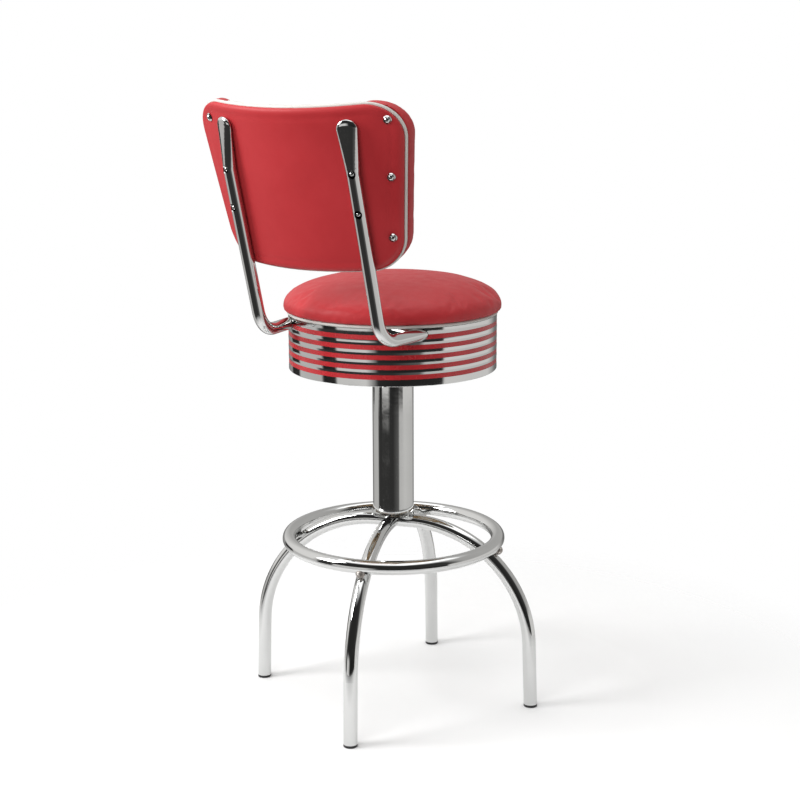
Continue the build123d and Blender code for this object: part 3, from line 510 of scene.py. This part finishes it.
def outline(grow, count=360):
    """Even points round the back's rounded trapezoid, seen square on."""
    radius = CORNER_R + grow
    corners = [Vector((s * (w + grow), u)) for s, w, u in (
        (1, BOTTOM_HALF_W, BOTTOM_UP - grow), (1, TOP_HALF_W, TOP_UP + grow),
        (-1, TOP_HALF_W, TOP_UP + grow), (-1, BOTTOM_HALF_W, BOTTOM_UP - grow))]
    dense = []
    for k, corner in enumerate(corners):
        before = (corners[k - 1] - corner).normalized()
        after = (corners[(k + 1) % 4] - corner).normalized()
        half = before.angle(after) / 2
        middle = corner + (before + after).normalized() * (radius / math.sin(half))
        reach = radius / math.tan(half)
        first, last = corner + before * reach, corner + after * reach
        start, end = first - middle, last - middle
        swing = start.angle(end)
        for i in range(41):
            t = i / 40
            arm = (start * math.sin((1 - t) * swing) + end * math.sin(t * swing)) / math.sin(swing)
            dense.append(middle + arm)
    line = np.array([tuple(p) for p in dense + [dense[0]]])
    run = np.concatenate([[0], np.cumsum(np.linalg.norm(np.diff(line, axis=0), axis=1))])
    at = np.linspace(0, run[-1], count, endpoint=False)
    return np.stack([np.interp(at, run, line[:, 0]), np.interp(at, run, line[:, 1])], axis=1)


def inset_of(x, up):
    """Distance of points inside the back's outline, negative outside it."""
    half_w = BOTTOM_HALF_W + (up - BOTTOM_UP) * (TOP_HALF_W - BOTTOM_HALF_W) / (TOP_UP - BOTTOM_UP)
    lean = math.atan2(TOP_HALF_W - BOTTOM_HALF_W, TOP_UP - BOTTOM_UP)
    side = (half_w - np.abs(x)) * math.cos(lean)
    top, bottom = TOP_UP - up, up - BOTTOM_UP
    cross = np.minimum(top, bottom)
    near = np.minimum(side, cross)
    in_corner = (side < CORNER_R) & (cross < CORNER_R)
    to_side, to_cross = np.maximum(CORNER_R - side, 0), np.maximum(CORNER_R - cross, 0)
    rounded = CORNER_R - np.hypot(to_side, to_cross)
    return np.where(in_corner, rounded, near)


MIDDLE = np.array((0.0, (TOP_UP + BOTTOM_UP) / 2))


def ring_at(grow, depth, shrink=1.0, count=360):
    flat = MIDDLE + (outline(grow, count) - MIDDLE) * shrink
    return back_points(flat[:, 0], flat[:, 1], depth)


# ---- back: rear panel ------------------------------------------------------------------------
def rear_skin(x, up):
    """Depth of the panel's rear face: it rolls over at its edge and dips under each screw cup."""
    inset = inset_of(x, up)
    roll = 0.0052 * np.exp(-np.maximum(inset, 0) / 0.0032)
    dips = np.zeros_like(x)
    for across, height in SCREWS:
        away = np.hypot(x - across, up - height)
        dips += CUP_DIP * np.exp(-(away / CUP_DIP_R) ** 2)
    tuck = 0.0007 * np.exp(-((inset - 0.016) / 0.006) ** 2)
    return np.maximum(roll + dips + tuck, 0.0002)


PANEL_INSETS = (0, 0.0008, 0.0018, 0.0032, 0.005, 0.0075, 0.010, 0.013, 0.016, 0.019, 0.022, 0.025,
                0.028, 0.031, 0.034, 0.037, 0.040, 0.044, 0.048, 0.052)
PANEL_SHRINKS = (0.93, 0.84, 0.74, 0.62, 0.50, 0.38, 0.26, 0.14, 0.04)
PANEL_SIDES = 420


def rear_panel():
    flats = [outline(-inset, PANEL_SIDES) for inset in PANEL_INSETS]
    flats += [MIDDLE + (flats[-1] - MIDDLE) * s for s in PANEL_SHRINKS]
    rings = [back_points(f[:, 0], f[:, 1], rear_skin(f[:, 0], f[:, 1])) for f in flats[::-1]]
    front = PANEL_T - 0.0001
    rings.append(ring_at(-0.0003, 0.0062, 1, PANEL_SIDES))
    rings.append(ring_at(-0.0042, front, 1, PANEL_SIDES))
    rings += [ring_at(-0.03, front, s, PANEL_SIDES) for s in (1, 0.5, 0.1)]
    panel = shell_of_rings("rear_panel_cover", rings)
    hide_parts("rear_panel")
    return finish_piece(panel, "red_vinyl", "seat")


def back_piping():
    loop = [Vector(p) for p in ring_at(-0.0002, 0.0097, 1, 480)]
    piping = tube_round("back_piping", loop, 0.0030)
    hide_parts("back_welt")
    return finish_piece(piping, "white_piping", "seat")


# ---- back: front cushion ---------------------------------------------------------------------
def back_pad():
    """Closed pad before it is cut along its seams: blown up by cloth, flat on the back board."""
    grow, front = PAD_GROW - PAD_SLACK, PAD_FRONT - PAD_SLACK
    rings = [ring_at(-0.03, PAD_REAR, s) for s in (0.1, 0.5, 1)]
    rings += [ring_at(grow, d) for d in (PAD_REAR, PAD_REAR + 0.008, front - PAD_SOFT)]
    for k in range(1, 7):
        a = math.radians(15 * k)
        inward, back = PAD_SOFT * (1 - math.cos(a)), PAD_SOFT * (1 - math.sin(a))
        rings.append(ring_at(grow - inward, front - back))
    rings += [ring_at(-0.03, front + 0.0015, s) for s in (1, 0.8, 0.5, 0.1)]
    pad = shell_of_rings("back_pad", rings)
    face_outwards(pad)
    remesh(pad)
    depth = back_frame(points_of(pad))[2]
    inflate(pad, depth < PAD_REAR + 0.004, PAD_RISE_CAP)
    subdivide(pad)
    return pad


def seam_distance(x, up):
    """Distance across the front from the nearer V seam, positive on the wings."""
    slope = (V_TOP - V_BOTTOM) / (TOP_UP - BOTTOM_UP)
    line = V_BOTTOM + (up - BOTTOM_UP) * slope
    return (np.abs(x) - line) * math.cos(math.atan(slope))


def shape_pad(pad):
    """Presses the V seams into the pad's front and edge, and makes room for the back board."""
    x, up, depth = back_frame(points_of(pad))
    inset = inset_of(x, up)
    out = depth > PAD_REAR + 0.003
    groove = SEAM_DEPTH * np.exp(-(np.abs(seam_distance(x, up)) / SEAM_HALF_W) ** 2)
    on_front = np.clip((inset + 0.004) / 0.014, 0, 1)
    depth = depth - groove * (on_front * out)
    rim = groove * (1 - on_front) * 0.5 * out
    at_side = np.abs(x) > 0.15
    x = x - rim * (x / np.maximum(np.abs(x), 1e-6)) * at_side
    up = up - rim * np.sign(up - MIDDLE[1]) * (np.abs(x) < 0.15)
    depth = np.maximum(depth, PAD_REAR)
    pocket = (depth < BOARD_FRONT) & (inset > BOARD_INSET)
    depth = np.where(pocket, BOARD_FRONT, depth)
    set_points(pad, back_points(x, up, depth))


def cut_piece(pad, name, planes):
    """Copy of the pad on the positive side of each (point, normal) plane, closed where cut."""
    work = bmesh.new()
    work.from_mesh(pad.data)
    for point, normal in planes:
        every = work.verts[:] + work.edges[:] + work.faces[:]
        cut = bmesh.ops.bisect_plane(work, geom=every, dist=1e-6, plane_co=point, plane_no=normal,
                                     clear_inner=True)
        rim = [e for e in cut["geom_cut"] if isinstance(e, bmesh.types.BMEdge)]
        bmesh.ops.holes_fill(work, edges=rim, sides=0)
    bmesh.ops.triangulate(work, faces=[f for f in work.faces if len(f.verts) > 4])
    mesh = bpy.data.meshes.new(name)
    work.to_mesh(mesh)
    work.free()
    piece = bpy.data.objects.new(name, mesh)
    scene.collection.objects.link(piece)
    return piece


def back_cushions():
    pad = back_pad()
    shape_pad(pad)
    slope = math.atan((V_TOP - V_BOTTOM) / (TOP_UP - BOTTOM_UP))
    walls = {}
    for side in (1, -1):
        out = (Vector((side, 0, 0)) * math.cos(slope) - BACK_UP * math.sin(slope)).normalized()
        foot = BACK_REF + BACK_UP * BOTTOM_UP + Vector((side * V_BOTTOM, 0, 0))
        walls[side] = (foot, out)
    between = [(foot - out * SEAM_GAP, -out) for foot, out in walls.values()]
    beyond = {side: (foot + out * SEAM_GAP, out) for side, (foot, out) in walls.items()}
    centre = cut_piece(pad, "back_cushion_centre", between)
    left = cut_piece(pad, "back_cushion_left", [beyond[1]])
    right = cut_piece(pad, "back_cushion_right", [beyond[-1]])
    bpy.data.objects.remove(pad)
    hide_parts("back_cover_centre", "back_foam")
    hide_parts("back_cover_left")
    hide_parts("back_cover_right")
    for piece, slot in ((centre, "white_vinyl"), (left, "red_vinyl"), (right, "red_vinyl")):
        finish_piece(piece, slot, "seat")


seat_cushion()
seat_piping()
rear_panel()
back_piping()
back_cushions()


# ---- studio ----------------------------------------------------------------------------------
FLOOR_FULL, FLOOR_END = 0.50, 1.00     # the white floor fades out between these radii
CAMERA_AZIMUTH = CAM_TURN - math.pi / 2


def towards_camera(turn, distance, height):
    """A place round the stool; turn is degrees to the image's left of the camera's direction."""
    a = CAMERA_AZIMUTH - math.radians(turn)
    return AXIS + Vector((math.cos(a) * distance, math.sin(a) * distance, height))


def studio_floor():
    """Pale floor under the stool, which fades into the white surroundings."""
    radii = (0.05, 0.2, FLOOR_FULL, 0.8, FLOOR_END + 0.05)
    rings = [ring_round_axis(radius, 0, ROUND_SIDES) for radius in radii]
    floor = shell_of_rings("floor", rings, closed_ends=False)
    work = bmesh.new()
    work.from_mesh(floor.data)
    inner = [e for e in work.edges if e.is_boundary and (e.verts[0].co - AXIS).length < 0.1]
    bmesh.ops.holes_fill(work, edges=inner, sides=0)
    work.to_mesh(floor.data)
    work.free()
    face_outwards(floor)
    white, off_white = (0.90, 0.90, 0.90), (0.885, 0.885, 0.885)
    paint = Paint("floor_white", white, 0.7)
    paint.set("Specular IOR Level", 0.1)
    paint.drive("Base Color", paint.ramp(paint.noise(3, 3), off_white, white))
    shift = paint.node("ShaderNodeVectorMath", operation="SUBTRACT")
    shift.inputs[1].default_value = tuple(AXIS)
    paint.link(paint.coords, shift.inputs[0])
    length = paint.node("ShaderNodeVectorMath", operation="LENGTH")
    paint.link(shift.outputs["Vector"], length.inputs[0])
    paint.drive("Alpha", paint.ramp(length.outputs["Value"], 1.0, 0.0, FLOOR_FULL, FLOOR_END))
    floor.data.materials.append(paint.mat)


def softbox(name, place, target, width, height, watts):
    data = bpy.data.lights.new(name, "AREA")
    data.shape, data.size, data.size_y, data.energy = "RECTANGLE", width, height, watts
    item = bpy.data.objects.new(name, data)
    scene.collection.objects.link(item)
    item.location = place
    item.rotation_euler = (target - place).to_track_quat("-Z", "Y").to_euler()
    return item


# Surroundings that the bright metal mirrors: grey against the angle in degrees from the camera's
# direction, positive to the image's left. The skirt mirrors HIGH_BELT and the column LOW_BELT.
HIGH_BELT = (
    (-180, 0.10), (-150, 0.22), (-128, 0.80), (-58, 0.86), (-55, 0.03), (-8, 0.02),
    (16, 0.03), (20, 0.30), (29, 0.85), (62, 0.80), (65, 0.03), (81, 0.02), (84, 0.62),
    (121, 0.66), (125, 0.03), (143, 0.03), (147, 0.40), (180, 0.10))
LOW_BELT = (
    (-180, 0.10), (-152, 0.25), (-135, 0.62), (-70, 0.74), (-36, 0.64), (-30, 0.14), (0, 0.040),
    (82, 0.045), (88, 0.10), (94, 0.66), (134, 0.60), (150, 0.22), (180, 0.10))
UPPER = ((-180, 0.50), (-120, 0.55), (-75, 0.50), (-58, 0.05), (-20, 0.03), (60, 0.03), (78, 0.10),
         (90, 1.00), (140, 0.95), (180, 0.50))
BELT_EDGE = -0.213              # sine of the elevation where the two belts meet
WHITE = (1.0, 1.0, 1.0, 1.0)


def studio_world():
    """Surroundings in three heights of grey ramps, white overhead and to the camera itself."""
    world = bpy.data.worlds.new("studio")
    scene.world = world
    world.use_nodes = True
    tree = world.node_tree
    new = tree.nodes.new

    def math_node(operation, first, second):
        node = new("ShaderNodeMath")
        node.operation = operation
        for socket, value in zip(node.inputs, (first, second)):
            if isinstance(value, (int, float)):
                socket.default_value = value
            else:
                tree.links.new(value, socket)
        return node.outputs[0]

    def smooth(value, low, high):
        node = new("ShaderNodeMapRange")
        node.interpolation_type = "SMOOTHSTEP"
        tree.links.new(value, node.inputs["Value"])
        node.inputs["From Min"].default_value = low
        node.inputs["From Max"].default_value = high
        return node.outputs["Result"]

    def ramp(stops, factor):
        node = new("ShaderNodeValToRGB")
        elements = node.color_ramp.elements
        for k, (angle, grey) in enumerate(stops):
            place = (angle + 180) / 360
            ends = {0: elements[0], len(stops) - 1: elements[-1]}
            stop = ends[k] if k in ends else elements.new(place)
            stop.position = place
            stop.color = (grey, grey * 0.985, grey * 0.965, 1)
        tree.links.new(factor, node.inputs["Fac"])
        return node.outputs["Color"]

    def mix(factor, first, second):
        node = new("ShaderNodeMix")
        node.data_type = "RGBA"
        tree.links.new(factor, node.inputs["Factor"])
        for socket, value in zip((s for s in node.inputs if s.type == "RGBA"), (first, second)):
            if isinstance(value, tuple):
                socket.default_value = value
            else:
                tree.links.new(value, socket)
        return next(s for s in node.outputs if s.type == "RGBA")

    turned = new("ShaderNodeVectorRotate")
    turned.rotation_type = "Z_AXIS"
    turned.inputs["Angle"].default_value = -CAMERA_AZIMUTH
    tree.links.new(new("ShaderNodeTexCoord").outputs["Generated"], turned.inputs["Vector"])
    parts = new("ShaderNodeSeparateXYZ")
    tree.links.new(turned.outputs["Vector"], parts.inputs["Vector"])
    leftward = math_node("MULTIPLY", parts.outputs["Y"], -1.0)
    angle = math_node("ARCTAN2", leftward, parts.outputs["X"])
    factor = math_node("ADD", math_node("MULTIPLY", angle, 0.5 / math.pi), 0.5)
    height = parts.outputs["Z"]
    belts = mix(smooth(height, BELT_EDGE - 0.006, BELT_EDGE + 0.006), ramp(LOW_BELT, factor),
                ramp(HIGH_BELT, factor))
    sides = mix(smooth(height, -0.04, 0.10), belts, ramp(UPPER, factor))
    around = mix(smooth(height, 0.72, 0.90), sides, WHITE)
    seen = mix(new("ShaderNodeLightPath").outputs["Is Camera Ray"], around, WHITE)
    background = tree.nodes["Background"]
    tree.links.new(seen, background.inputs["Color"])
    background.inputs["Strength"].default_value = 1.0


MID = AXIS + Vector((0, 0, 0.6))
studio_floor()
studio_world()
softbox("key", towards_camera(74, 2.5, 2.1), MID, 1.1, 1.3, 56)
softbox("front", towards_camera(24, 3.2, 1.9), MID, 2.2, 2.2, 54).visible_glossy = False
softbox("top", AXIS + Vector((0, 0, 3.0)), AXIS, 3.0, 3.0, 24)
